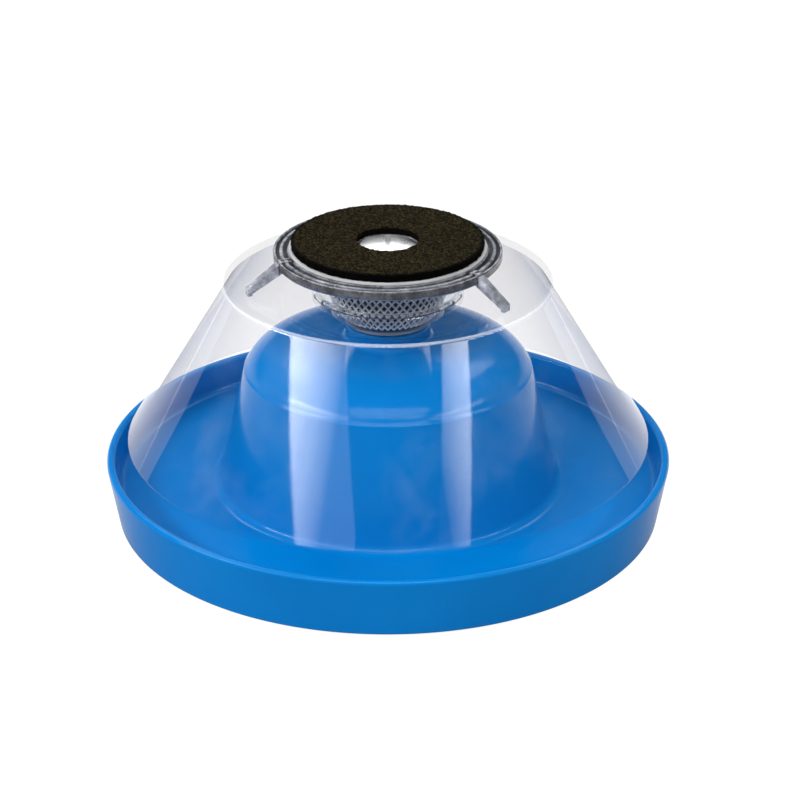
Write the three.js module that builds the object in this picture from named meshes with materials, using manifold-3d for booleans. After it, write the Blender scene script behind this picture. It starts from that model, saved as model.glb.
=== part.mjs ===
// Domed air stone unit: a weighted blue tray with a raised boss, a clear cone-shaped cover carried by a
// hub on the boss, and a three-armed retainer with a porous ring disc on top. Air enters at the back
// through a hose barb, rises inside the boss and leaves through a porous core behind a wire mesh.
// Millimetres, +Z up, origin at the centre of the surface that the feet stand on.
import * as THREE from "three";
import { mergeVertices } from "three/addons/utils/BufferGeometryUtils.js";
import Module from "manifold-3d";

const wasm = await Module();
wasm.setup();

// Driving dimensions
const roundSegments = 48; // facets of the large turned pieces
const smallSegments = 24; // facets of the pieces about the hub
const pinSegments = 16; // facets of screws, pipes and pads
const seatGap = 0.3; // between pieces that rest on or locate each other
const stackGap = 0.15; // between the thin pieces stacked on the retainer

// Tray
const rimRadius = 50;
const rimLean = 1.9; // how far the rim leans outwards over its height
const rimTopZ = 11.25;
const rimWall = 1.5;
const rimEdge = 0.7; // rounding of the rim's top edge
const footHeight = 0.4; // the skirt's height above the surface
const underfloorGap = 1.9; // between the bottom plate and the floor
const floorThickness = 1.6;
const floorFillet = 1.2;

// Boss in the middle of the tray
const bossFootRadius = 30.2;
const bossShoulderRadius = 25.3;
const bossTopRadius = 13;
const bossTopZ = 32.8;
const bossWall = 1.8;
const shoulderDrop = 5.6; // from the boss's top to the shoulder's lower edge
const bulgeInset = 2.9; // from the shoulder in to its curve's control point
const collarRadius = 7.4; // raised ring that the hub stands on
const collarHeight = 2.9;

// Underside
const plateLowZ = 1;
const plateThickness = 1.3;
const padRadius = 4;
const padInset = 10; // from the rim to the pads' centres
const dimpleHeight = 1.9; // of the screws' dimples above the plate
const dimpleWall = 0.8;
const dimpleWeb = 1.2; // what each screw's head holds
const pillarRadius = 2.8;
const pillarHeight = 7.5;
const plateScrewHead = 2.3; // radius
const plateScrewHeadHeight = 1.4;
const plateScrewShank = 1;
const ballastHeight = 9;

// Air line
const pipeRadius = 2.5;
const pipeBore = 1.3;
const barbRise = 0.3; // of the barbs above the pipe
const barbPitch = 3;
const barbs = 3;
const barbStandoff = 1.4; // between the grommet and the first barb
const lineRoom = 1.3; // round the barbs, for the air line's wall
const tunnelWall = 1.3;
const tunnelDepth = 6; // how far the tunnel runs in under the boss
const grommetLength = 3.5;
const grommetInset = 0.6; // how far the grommet starts inside the boss's foot
const riserRadius = 2.7;
const riserWall = 1;
const socketWall = 1.2;
const socketStep = 1.4; // from the pipe's axis up to the riser's seat
const socketDepth = 5.7;

// Hub
const stemWall = 1.7;
const stemLength = 10;
const hubSealThickness = 0.6;
const cupFootRadius = 8.4;
const cupRimRadius = 11.8;
const cupWall = 1.1;
const cupFloor = 1.4;
const cupHeight = 9.3;
const ledgeHeight = 4.27; // from the cup's foot up to the ledge that carries the cover
const ledgeLap = 0.9; // of the ledge under the cover
const ledgeThickness = 1;
const coverSealThickness = 0.7;
const hubNutRim = 3.3; // from the stem to the nut's corners
const hubNutHeight = 3.5;
const postRadius = 3.4;
const meshThickness = 0.6;

// Cover
const coverInset = 2.2; // from the rim's inner edge in to the cover's foot
const airGap = 2.9; // from the rim's top up to the cover's foot
const coverShoulderRadius = 28.6;
const coverWall = 1.2;
const coverEdge = 0.8; // rounding of the shoulder
const coverHoleGap = 0.5; // round the cup

// Retainer, disc and clamp screw
const retainerRadius = 19.8;
const retainerLift = 1.3; // from the cup's rim up to the retainer
const retainerThickness = 1.7;
const armWidth = 1.6;
const armThickness = 1.2;
const armLength = 5.6; // beyond the retainer's edge
const armFoot = 0.8; // level length at the end of each arm
const armAngles = [199, 322, 81]; // degrees from +X
const tapeThickness = 0.28;
const tapeInset = 0.4; // inside the disc's hole
const tapeRim = 0.5; // beyond the disc's outer edge
const discRadius = 16.6;
const discHoleGap = 0.6; // round the screw's head
const discThickness = 1.35;
const screwHead = 4.8; // radius
const screwDome = 0.75; // height of the head
const screwShank = 1.5;
const screwLength = 5.4; // below the head
const screwRoom = 1; // under the screw's tip
const washerThickness = 0.4;
const slotWidth = 0.9;
const slotDepth = 0.4;

// Derived sizes
const skirtRadius = rimRadius - rimLean;
const plateTopZ = plateLowZ + plateThickness;
const floorLowZ = plateTopZ + underfloorGap;
const floorTopZ = floorLowZ + floorThickness;
const bossShoulderZ = bossTopZ - shoulderDrop;
const bossCeilingZ = bossTopZ - bossWall;
const bulgeRadius = bossShoulderRadius - bulgeInset;
const collarTopZ = bossTopZ + collarHeight;

const counterboreRadius = plateScrewHead + seatGap;
const dimpleRadius = counterboreRadius + dimpleWall;
const dimpleTopZ = plateTopZ + dimpleHeight;
const dimpleWebZ = dimpleTopZ - dimpleWeb;
const pillarLowZ = dimpleTopZ + seatGap;
const pillarTopZ = pillarLowZ + pillarHeight;
const pillarCircle = bossFootRadius - bossWall - seatGap - dimpleRadius;
const padCircle = rimRadius - padInset;

const barbRadius = pipeRadius + barbRise;
const pipeZ = plateTopZ + seatGap + barbRadius;
const tunnelRadius = barbRadius + lineRoom; // inside of the arched tunnel round the pipe
const grommetFrom = bossFootRadius - grommetInset;
const grommetTo = grommetFrom + grommetLength;
const pipeReach = grommetTo + barbStandoff + barbs * barbPitch; // from the axis to the barb's tip
const socketRadius = riserRadius + seatGap + socketWall;
const socketFloorZ = pipeZ + socketStep;
const socketTopZ = socketFloorZ + socketDepth;

const riserWell = riserRadius + seatGap;
const stemRadius = riserWell + stemWall;
const stemHole = stemRadius + 2 * seatGap;
const hubSealZ = collarTopZ + seatGap;
const cupFootZ = hubSealZ + hubSealThickness + seatGap;
const cupFloorZ = cupFootZ + cupFloor;
const cupTopZ = cupFootZ + cupHeight;
const ledgeTopZ = cupFootZ + ledgeHeight;
const coverHoleRadius = cupRimRadius + coverHoleGap;
const ledgeRadius = coverHoleRadius + ledgeLap;
const meshInset = cupWall + seatGap; // from the cup's outside to the mesh's outside
const coreInset = meshInset + meshThickness + seatGap;

const coverFootRadius = rimRadius - rimWall - coverInset;
const coverFootZ = rimTopZ + airGap;
const coverSealZ = ledgeTopZ + seatGap;
const coverTopUnderZ = coverSealZ + coverSealThickness + seatGap;
const coverTopZ = coverTopUnderZ + coverWall;

const retainerLowZ = cupTopZ + retainerLift;
const retainerTopZ = retainerLowZ + retainerThickness;
const armReach = retainerRadius + armLength;
const postTopZ = retainerLowZ - seatGap;
const postBore = screwShank + seatGap;
const discHole = screwHead + discHoleGap;
const discLowZ = retainerTopZ + 2 * stackGap + tapeThickness;
const washerLowZ = retainerTopZ + stackGap;
const headLowZ = washerLowZ + washerThickness + stackGap;

// A three.js geometry as a closed solid.
function solidFrom(geometry) {
  const bare = geometry.index ? geometry.toNonIndexed() : geometry.clone();
  bare.deleteAttribute("normal");
  bare.deleteAttribute("uv");
  const merged = mergeVertices(bare, 1e-4);
  return new wasm.Manifold(
    new wasm.Mesh({
      numProp: 3,
      vertProperties: merged.attributes.position.array,
      triVerts: new Uint32Array(merged.index.array),
    }),
  );
}

// A profile of [radius, height] points turned about Z, listed anticlockwise.
function turned(profile, segments = smallSegments) {
  const points = profile.map(([radius, height]) => new THREE.Vector2(radius, height));
  return solidFrom(new THREE.LatheGeometry(points, segments).rotateX(Math.PI / 2));
}

// A closed profile turned about Z.
function turnedRing(profile, segments) {
  return turned([...profile, profile[0]], segments);
}

// A plain ring between two heights.
function ring(inner, outer, low, high, segments) {
  return turnedRing([[inner, low], [outer, low], [outer, high], [inner, high]], segments);
}

// An upright cylinder between two heights, centred on [x, y].
function post(radius, low, high, [x, y] = [0, 0], segments = pinSegments) {
  const shape = new THREE.CylinderGeometry(radius, radius, high - low, segments);
  return solidFrom(shape.rotateX(Math.PI / 2).translate(x, y, (low + high) / 2));
}

// A cylinder or cone along +Y at the pipe's height.
function pipeLength(startRadius, endRadius, from, to) {
  const shape = new THREE.CylinderGeometry(endRadius, startRadius, to - from, pinSegments);
  return solidFrom(shape.translate(0, (from + to) / 2, pipeZ));
}

// A shape drawn in the XZ plane and extruded along +Y.
function extrudedAlongY(shape, from, to) {
  const options = { depth: to - from, bevelEnabled: false, curveSegments: 8 };
  return solidFrom(new THREE.ExtrudeGeometry(shape, options).rotateX(Math.PI / 2).translate(0, to, 0));
}

// A box between two corners.
function block([x0, y0, z0], [x1, y1, z1]) {
  const shape = new THREE.BoxGeometry(x1 - x0, y1 - y0, z1 - z0);
  return solidFrom(shape.translate((x0 + x1) / 2, (y0 + y1) / 2, (z0 + z1) / 2));
}

// Points on an arc, from one angle to another in degrees.
function arc(centreRadius, centreZ, radius, from, to, steps) {
  return Array.from({ length: steps + 1 }, (_, i) => {
    const angle = THREE.MathUtils.degToRad(from + ((to - from) * i) / steps);
    return [centreRadius + radius * Math.cos(angle), centreZ + radius * Math.sin(angle)];
  });
}

// Points on a curve pulled towards one control point.
function bend(start, control, end, steps) {
  const curve = new THREE.QuadraticBezierCurve(
    new THREE.Vector2(...start),
    new THREE.Vector2(...control),
    new THREE.Vector2(...end),
  );
  return curve.getPoints(steps).map(({ x, y }) => [x, y]);
}

// [x, y] at an angle in degrees on a circle about the axis.
function onCircle(radius, degrees) {
  const angle = THREE.MathUtils.degToRad(degrees);
  return [radius * Math.cos(angle), radius * Math.sin(angle)];
}

const join = (first, ...others) => others.reduce((whole, piece) => whole.add(piece), first);
const cut = (first, ...others) => others.reduce((whole, piece) => whole.subtract(piece), first);

const pillarPlaces = [30, 150, 270].map((angle) => onCircle(pillarCircle, angle));
const padPlaces = [30, 150, 270].map((angle) => onCircle(padCircle, angle));

// Outside of the rim at a height: it leans outwards from the skirt to the top edge.
function rimOutside(z) {
  return skirtRadius + ((rimRadius - skirtRadius) * (z - footHeight)) / (rimTopZ - footHeight);
}

function trayProfile() {
  const skirtInside = (z) => rimOutside(z) - rimWall;
  const rimInner = rimRadius - rimWall;
  const wallFoot = rimOutside(floorTopZ) - rimWall;
  const edgeZ = rimTopZ - rimEdge;
  return [
    [skirtInside(footHeight), footHeight],
    [skirtRadius, footHeight],
    ...arc(rimRadius - rimEdge, edgeZ, rimEdge, 0, 90, 2),
    ...arc(rimInner + rimEdge, edgeZ, rimEdge, 90, 180, 2),
    ...arc(wallFoot - floorFillet, floorTopZ + floorFillet, floorFillet, 0, -90, 2),
    ...arc(bossFootRadius + floorFillet, floorTopZ + floorFillet, floorFillet, 270, 180, 2),
    ...bend(
      [bossShoulderRadius, bossShoulderZ],
      [bulgeRadius, bossTopZ],
      [bossTopRadius, bossTopZ],
      7,
    ),
    [collarRadius, bossTopZ],
    [collarRadius, collarTopZ],
    [stemHole, collarTopZ],
    [stemHole, bossCeilingZ],
    ...bend(
      [bossTopRadius - bossWall / 2, bossCeilingZ],
      [bulgeRadius - bossWall, bossCeilingZ],
      [bossShoulderRadius - bossWall, bossShoulderZ],
      5,
    ),
    [bossFootRadius - bossWall, floorLowZ],
    [skirtInside(floorLowZ), floorLowZ],
  ];
}

// The arch of the pipe's tunnel, from a lower edge to its crown.
function archShape(radius, lowZ) {
  const shape = new THREE.Shape();
  shape.moveTo(-radius, lowZ);
  shape.lineTo(radius, lowZ);
  shape.lineTo(radius, pipeZ);
  shape.absarc(0, pipeZ, radius, 0, Math.PI, false);
  shape.lineTo(-radius, lowZ);
  return shape;
}

function baseTray() {
  const body = turnedRing(trayProfile(), roundSegments);
  const ridge = extrudedAlongY(
    archShape(tunnelRadius + tunnelWall, floorLowZ + floorThickness / 2),
    bossFootRadius - bossWall / 2,
    rimOutside(floorTopZ) - rimWall / 2,
  );
  const pillars = pillarPlaces.map((place) => post(pillarRadius, pillarLowZ, pillarTopZ, place));
  const tunnel = extrudedAlongY(
    archShape(tunnelRadius, -1),
    bossFootRadius - tunnelDepth,
    rimRadius + 1,
  );
  const pilotRadius = plateScrewShank + seatGap;
  const pilots = pillarPlaces.map((place) => post(pilotRadius, 0, pillarTopZ - 1.5, place));
  return cut(join(body, ridge, ...pillars), tunnel, ...pilots);
}

function bottomPlate() {
  const plateRadius = rimOutside(plateLowZ) - rimWall - seatGap;
  const disc = post(plateRadius, plateLowZ, plateTopZ, [0, 0], roundSegments);
  const dimples = pillarPlaces.map((place) => post(dimpleRadius, plateLowZ, dimpleTopZ, place));
  const pockets = pillarPlaces.map((place) => post(counterboreRadius, 0, dimpleWebZ, place));
  const holes = pillarPlaces.map((place) => post(plateScrewShank + seatGap, 0, rimTopZ, place));
  return cut(join(disc, ...dimples), ...pockets, ...holes);
}

// A screw that holds the bottom plate, head down.
function plateScrew(place) {
  const headTop = dimpleWebZ - seatGap;
  const headLow = headTop - plateScrewHeadHeight;
  const head = post(plateScrewHead, headLow, headTop, place);
  const shank = post(plateScrewShank, headTop - 0.2, pillarTopZ - 3, place);
  const [x, y] = place;
  const slot = block([x - plateScrewHead, y - 0.35, 0], [x + plateScrewHead, y + 0.35, headLow + 0.6]);
  return cut(join(head, shank), slot);
}

function footPad(place) {
  return post(padRadius, 0, plateLowZ - seatGap, place);
}

function ballastRing() {
  const inner = socketRadius + 1.5;
  const outer = pillarCircle - dimpleRadius - 0.7;
  const low = plateTopZ + seatGap;
  const pipeSlot = pipeRadius + 0.5;
  const slot = block([-pipeSlot, 0, 0], [pipeSlot, rimRadius, pipeZ + pipeSlot]);
  return cut(ring(inner, outer, low, low + ballastHeight, smallSegments), slot);
}

function airElbow() {
  const pipe = pipeLength(pipeRadius, pipeRadius, 0, pipeReach);
  const ridges = Array.from({ length: barbs }, (_, i) => {
    const tip = pipeReach - i * barbPitch - 0.2;
    return pipeLength(barbRadius, pipeRadius * 0.92, tip - barbPitch * 0.8, tip);
  });
  const socket = post(socketRadius, plateTopZ + seatGap, socketTopZ);
  const bore = pipeLength(pipeBore, pipeBore, -0.5, pipeReach + 1);
  const well = post(riserWell, socketFloorZ, socketTopZ + 1);
  const drop = post(pipeBore, pipeZ, socketFloorZ + 1);
  return cut(join(pipe, ...ridges, socket), bore, well, drop);
}

// The rubber block that holds the pipe in the tunnel's mouth.
function inletGrommet() {
  const arch = archShape(tunnelRadius - seatGap, plateTopZ + seatGap);
  const body = extrudedAlongY(arch, grommetFrom, grommetTo);
  const hole = pipeRadius + seatGap;
  return cut(body, pipeLength(hole, hole, 0, rimRadius));
}

function riserTube() {
  const top = cupFootZ - cupFloor;
  return ring(riserRadius - riserWall, riserRadius, socketFloorZ + seatGap, top, pinSegments);
}

function hubNut() {
  const top = bossCeilingZ - seatGap;
  const corner = stemRadius + hubNutRim;
  const hexagon = new THREE.CylinderGeometry(corner, corner, hubNutHeight, 6);
  const body = solidFrom(hexagon.rotateX(Math.PI / 2).translate(0, 0, top - hubNutHeight / 2));
  return cut(body, post(stemRadius + seatGap, 0, bossTopZ));
}

function hubSeal() {
  return ring(stemHole, collarRadius, hubSealZ, hubSealZ + hubSealThickness, smallSegments);
}

// The bowl's outline from foot to rim, moved inwards by an inset.
function bowlSide(inset, fromZ) {
  return bend(
    [cupFootRadius - inset, fromZ],
    [cupRimRadius - 0.5 - inset, fromZ + 1.2],
    [cupRimRadius - 0.2 - inset, ledgeTopZ + 1],
    5,
  );
}

function hubCup() {
  const stemLowZ = cupFootZ - stemLength;
  const bowl = turnedRing([
    [riserWell, stemLowZ],
    [stemRadius, stemLowZ],
    [stemRadius, cupFootZ],
    ...bowlSide(0, cupFootZ),
    [cupRimRadius, cupTopZ - 0.4],
    [cupRimRadius - 0.4, cupTopZ],
    [cupRimRadius - cupWall, cupTopZ],
    ...bowlSide(cupWall, cupFloorZ).reverse(),
    [pipeBore, cupFloorZ],
    [pipeBore, cupFootZ - cupFloor + seatGap],
    [riserWell, cupFootZ - cupFloor + seatGap],
  ]);
  const ledge = ring(cupRimRadius - cupWall, ledgeRadius, ledgeTopZ - ledgeThickness, ledgeTopZ);
  return join(bowl, ledge);
}

function centrePost() {
  const low = cupFloorZ + seatGap;
  const screwWell = headLowZ - screwLength - screwRoom;
  const sideHoleZ = low + 1.6;
  const sideHole = new THREE.CylinderGeometry(0.7, 0.7, 2 * postRadius + 1, 12);
  return cut(
    post(postRadius, low, postTopZ),
    post(pipeBore, low - 1, screwWell - 1),
    post(postBore, screwWell, postTopZ + 1),
    solidFrom(sideHole.clone().translate(0, 0, sideHoleZ)),
    solidFrom(sideHole.clone().rotateZ(Math.PI / 2).translate(0, 0, sideHoleZ)),
  );
}

function meshSleeve() {
  const low = cupFloorZ + seatGap;
  const top = postTopZ;
  return turnedRing([
    ...bowlSide(meshInset, low),
    [cupRimRadius - meshInset, top],
    [cupRimRadius - meshInset - meshThickness, top],
    ...bowlSide(meshInset + meshThickness, low).reverse(),
  ]);
}

function stoneCore() {
  const low = cupFloorZ + seatGap;
  const top = postTopZ - 0.8;
  const hole = postRadius + seatGap;
  const side = bowlSide(coreInset, low);
  return turnedRing([[hole, low], ...side, [cupRimRadius - coreInset, top], [hole, top]]);
}

function coverSeal() {
  const inner = coverHoleRadius - 0.1;
  return ring(inner, ledgeRadius, coverSealZ, coverSealZ + coverSealThickness);
}

function clearCover() {
  const lean = (coverFootRadius - coverShoulderRadius) / (coverTopZ - coverFootZ);
  const wallAcross = coverWall * Math.hypot(1, lean); // the wall measured level
  const innerShoulder = coverShoulderRadius + lean * coverWall - wallAcross;
  const edgeDrop = coverEdge * 0.8;
  return turnedRing(
    [
      [coverFootRadius - wallAcross, coverFootZ],
      [coverFootRadius, coverFootZ],
      ...bend(
        [coverShoulderRadius + lean * edgeDrop, coverTopZ - edgeDrop],
        [coverShoulderRadius, coverTopZ],
        [coverShoulderRadius - coverEdge, coverTopZ],
        3,
      ),
      [coverHoleRadius, coverTopZ],
      [coverHoleRadius, coverTopUnderZ],
      [innerShoulder, coverTopUnderZ],
    ],
    roundSegments,
  );
}

// One sloping arm, drawn from the side as radius and height, reaching down to the cover's top.
function retainerArm(degrees) {
  const tipLowZ = coverTopZ + seatGap;
  const root = retainerRadius - 2;
  const side = new THREE.Shape([
    new THREE.Vector2(root, retainerLowZ),
    new THREE.Vector2(retainerRadius - 0.8, retainerLowZ),
    new THREE.Vector2(armReach - armFoot, tipLowZ + 0.4),
    new THREE.Vector2(armReach - armFoot, tipLowZ),
    new THREE.Vector2(armReach, tipLowZ),
    new THREE.Vector2(armReach, tipLowZ + armThickness),
    new THREE.Vector2(retainerRadius - 0.6, retainerTopZ),
    new THREE.Vector2(root, retainerTopZ),
  ]);
  const options = { depth: armWidth, bevelEnabled: false };
  const arm = new THREE.ExtrudeGeometry(side, options).rotateX(Math.PI / 2);
  const angle = THREE.MathUtils.degToRad(degrees);
  return solidFrom(arm.translate(0, armWidth / 2, 0).rotateZ(angle));
}

function retainerSpider() {
  const hole = screwShank + seatGap;
  const plate = turnedRing(
    [
      [hole, retainerLowZ],
      [retainerRadius - 0.5, retainerLowZ],
      [retainerRadius, retainerLowZ + 0.5],
      [retainerRadius, retainerTopZ - 0.4],
      [retainerRadius - 0.4, retainerTopZ],
      [hole, retainerTopZ],
    ],
    roundSegments,
  );
  return join(plate, ...armAngles.map(retainerArm));
}

function tapeRing() {
  const low = retainerTopZ + stackGap;
  return ring(discHole + tapeInset, discRadius + tapeRim, low, low + tapeThickness, roundSegments);
}

function porousDisc() {
  return ring(discHole, discRadius, discLowZ, discLowZ + discThickness, roundSegments);
}

function clampWasher() {
  const low = washerLowZ;
  return ring(screwShank + seatGap, screwHead - 0.2, low, low + washerThickness);
}

function clampScrew() {
  const domeRadius = (screwHead ** 2 + screwDome ** 2) / (2 * screwDome);
  const edge = THREE.MathUtils.radToDeg(Math.acos(screwHead / domeRadius));
  const domeTopZ = headLowZ + screwDome;
  const tipZ = headLowZ - screwLength;
  const body = turned([
    [0, tipZ],
    [screwShank * 0.7, tipZ],
    [screwShank, tipZ + 0.5],
    [screwShank, headLowZ],
    ...arc(0, domeTopZ - domeRadius, domeRadius, edge, 90, 5).slice(0, -1),
    [0, domeTopZ],
  ]);
  const half = slotWidth / 2;
  const slot = block([-half, -screwHead, domeTopZ - slotDepth], [half, screwHead, domeTopZ + 1]);
  return cut(body, slot);
}

const paint = (color, roughness, metalness = 0) =>
  new THREE.MeshStandardMaterial({ color, roughness, metalness });
const clear = (color, opacity) =>
  new THREE.MeshStandardMaterial({ color, roughness: 0.05, transparent: true, opacity });

function addPiece(group, name, solid, material) {
  const { vertProperties, triVerts } = solid.getMesh();
  const geometry = new THREE.BufferGeometry()
    .setAttribute("position", new THREE.BufferAttribute(new Float32Array(vertProperties), 3))
    .setIndex(new THREE.BufferAttribute(new Uint32Array(triVerts), 1));
  geometry.computeVertexNormals();
  const mesh = new THREE.Mesh(geometry, material);
  mesh.name = name;
  group.add(mesh);
}

const unit = new THREE.Group();
const base = new THREE.Group();
const hub = new THREE.Group();
const cover = new THREE.Group();
const cap = new THREE.Group();
unit.add(base, hub, cover, cap);

addPiece(base, "base_tray", baseTray(), paint(0x0077c2, 0.2));
addPiece(base, "bottom_plate", bottomPlate(), paint(0x0a5a9c, 0.4));
addPiece(base, "ballast_ring", ballastRing(), paint(0x55585c, 0.6, 0.6));
pillarPlaces.forEach((place, i) => {
  addPiece(base, `plate_screw_${i + 1}`, plateScrew(place), paint(0xb8bcc0, 0.3, 1));
});
padPlaces.forEach((place, i) => {
  addPiece(base, `foot_pad_${i + 1}`, footPad(place), paint(0x24262a, 0.8));
});
addPiece(base, "air_elbow", airElbow(), paint(0x2b3a44, 0.35));
addPiece(base, "inlet_grommet", inletGrommet(), paint(0x1d1e20, 0.8));
addPiece(base, "riser_tube", riserTube(), clear(0xd9e4ea, 0.6));

addPiece(hub, "hub_nut", hubNut(), paint(0xd8dde0, 0.35));
addPiece(hub, "hub_seal", hubSeal(), paint(0x8d9298, 0.7));
addPiece(hub, "hub_cup", hubCup(), clear(0xe6eef2, 0.45));
addPiece(hub, "centre_post", centrePost(), paint(0xbfc4c8, 0.35, 0.8));
addPiece(hub, "stone_core", stoneCore(), paint(0x8a8c8e, 0.95));
addPiece(hub, "mesh_sleeve", meshSleeve(), paint(0xb4b9bd, 0.3, 1));

addPiece(cover, "cover_seal", coverSeal(), clear(0xe8ecee, 0.7));
addPiece(cover, "clear_cover", clearCover(), clear(0xeef3f6, 0.3));

addPiece(cap, "retainer_spider", retainerSpider(), clear(0x8f949c, 0.8));
addPiece(cap, "tape_ring", tapeRing(), paint(0xe9ebec, 0.6));
addPiece(cap, "porous_disc", porousDisc(), paint(0x2d2a20, 0.95));
addPiece(cap, "clamp_washer", clampWasher(), paint(0xc4c8cc, 0.25, 1));
addPiece(cap, "clamp_screw", clampScrew(), paint(0xd3d6da, 0.15, 1));

export default unit;
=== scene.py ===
import bpy
import bmesh
import math
from mathutils import Matrix, Vector, noise


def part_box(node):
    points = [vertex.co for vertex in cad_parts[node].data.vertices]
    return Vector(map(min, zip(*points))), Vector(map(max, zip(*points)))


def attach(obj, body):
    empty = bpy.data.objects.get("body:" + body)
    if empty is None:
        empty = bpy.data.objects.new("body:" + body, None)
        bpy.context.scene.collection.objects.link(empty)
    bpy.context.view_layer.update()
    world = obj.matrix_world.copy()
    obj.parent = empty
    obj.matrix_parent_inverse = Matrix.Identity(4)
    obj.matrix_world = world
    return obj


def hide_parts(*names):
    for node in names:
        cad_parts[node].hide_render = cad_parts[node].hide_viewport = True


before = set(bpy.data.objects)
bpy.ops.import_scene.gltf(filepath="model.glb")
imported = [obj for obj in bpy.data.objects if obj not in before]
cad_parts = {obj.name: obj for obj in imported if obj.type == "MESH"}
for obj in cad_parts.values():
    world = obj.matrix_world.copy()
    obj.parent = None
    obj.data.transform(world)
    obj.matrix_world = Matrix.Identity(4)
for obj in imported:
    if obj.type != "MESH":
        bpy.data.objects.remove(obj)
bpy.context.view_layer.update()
mm = 0.001
sharpAngle = 32  # degrees between two faces from which their edge stays sharp
print("frame loaded")


def cornersRounded(points, steps):
    # each point is (radius, height, rounding); a corner becomes an arc of that rounding
    longFace, support = 1, 0.15  # a point beside each rounded corner keeps long faces' shading flat
    most = 0.45  # of a side that one corner may take
    made = []
    for i, point in enumerate(points):
        here = Vector(point[:2])
        size = point[2] if len(point) > 2 else 0
        if not size:
            made.append(here)
            continue
        before = Vector(points[i - 1][:2]) - here
        after = Vector(points[(i + 1) % len(points)][:2]) - here
        half = before.angle(after) / 2
        reach = min(size / math.tan(half), before.length * most, after.length * most)
        radius = reach * math.tan(half)
        middle = here + (before.normalized() + after.normalized()).normalized() * (radius / math.sin(half))
        start = here + before.normalized() * reach - middle
        end = here + after.normalized() * reach - middle
        turn = start.angle_signed(end)
        if before.length > 2 * reach + longFace:
            made.append(here + before.normalized() * (reach + support))
        for k in range(steps + 1):
            made.append(middle + Matrix.Rotation(-turn * k / steps, 2) @ start)
        if after.length > 2 * reach + longFace:
            made.append(here + after.normalized() * (reach + support))
    return made


def bend(start, control, end, steps):
    # points on a curve pulled towards one control point
    made = []
    for k in range(steps + 1):
        t = k / steps
        made.append(
            tuple(a * (1 - t) ** 2 + 2 * b * t * (1 - t) + c * t * t for a, b, c in zip(start, control, end))
        )
    return made


def smoothed(mesh, angle=sharpAngle):
    # shaded smooth, apart from edges sharper than the angle
    mesh.polygons.foreach_set("use_smooth", [True] * len(mesh.polygons))
    mesh.set_sharp_from_angle(angle=math.radians(angle))


def finished(shape, name, material, angle=sharpAngle):
    # the bmesh as an object with its material
    bmesh.ops.recalc_face_normals(shape, faces=shape.faces)
    mesh = bpy.data.meshes.new(name)
    shape.to_mesh(mesh)
    shape.free()
    smoothed(mesh, angle)
    mesh.materials.append(material)
    made = bpy.data.objects.new(name, mesh)
    bpy.context.collection.objects.link(made)
    return made


def turned(name, profile, material, steps, angle=sharpAngle):
    # a closed outline of (radius, height) in millimetres, turned about the upright axis
    shape = bmesh.new()
    columns = []
    for i in range(steps):
        way = 2 * math.pi * i / steps
        across = Vector((math.cos(way), math.sin(way), 0))
        columns.append([shape.verts.new(across * r * mm + Vector((0, 0, z * mm))) for r, z in profile])
    count = len(profile)
    for i in range(steps):
        one, two = columns[i], columns[(i + 1) % steps]
        for j in range(count):
            k = (j + 1) % count
            shape.faces.new((one[j], two[j], two[k], one[k]))
    bmesh.ops.remove_doubles(shape, verts=shape.verts, dist=mm / 1000)
    return finished(shape, name, material, angle)


def extruded(name, outline, place, depth, material, bevel=0):
    # an outline of (x, y) in millimetres pulled along z, then put in place by a matrix
    shape = bmesh.new()
    low = [shape.verts.new((x * mm, y * mm, 0)) for x, y in outline]
    high = [shape.verts.new((x * mm, y * mm, depth * mm)) for x, y in outline]
    shape.faces.new(reversed(low))
    shape.faces.new(high)
    for i in range(len(outline)):
        k = (i + 1) % len(outline)
        shape.faces.new((low[i], low[k], high[k], high[i]))
    bmesh.ops.recalc_face_normals(shape, faces=shape.faces)
    if bevel:
        bmesh.ops.bevel(
            shape, geom=shape.edges[:], offset=bevel * mm, segments=2, profile=0.5, affect="EDGES"
        )
    bmesh.ops.transform(shape, matrix=place, verts=shape.verts)
    return finished(shape, name, material)


def combined(main, others, operation):
    # joins or cuts solids and leaves one plain mesh
    for other in others:
        step = main.modifiers.new("step", "BOOLEAN")
        step.operation = operation
        step.solver = "EXACT"
        step.object = other
        baked(main)
        bpy.data.objects.remove(other)
    smoothed(main.data)
    return main


def baked(piece):
    # the piece as its modifiers leave it, without them
    graph = bpy.context.evaluated_depsgraph_get()
    result = bpy.data.meshes.new_from_object(piece.evaluated_get(graph))
    piece.modifiers.clear()
    piece.data = result


def roughened(piece, amount, scale):
    # moves each point along its normal by a fixed noise, amount and scale in millimetres
    falloff, lacunarity, octaves = 1.0, 2.0, 3
    for v in piece.data.vertices:
        height = noise.fractal(v.co / (scale * mm), falloff, lacunarity, octaves)
        v.co += v.normal * height * amount * mm
    return piece


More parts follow.
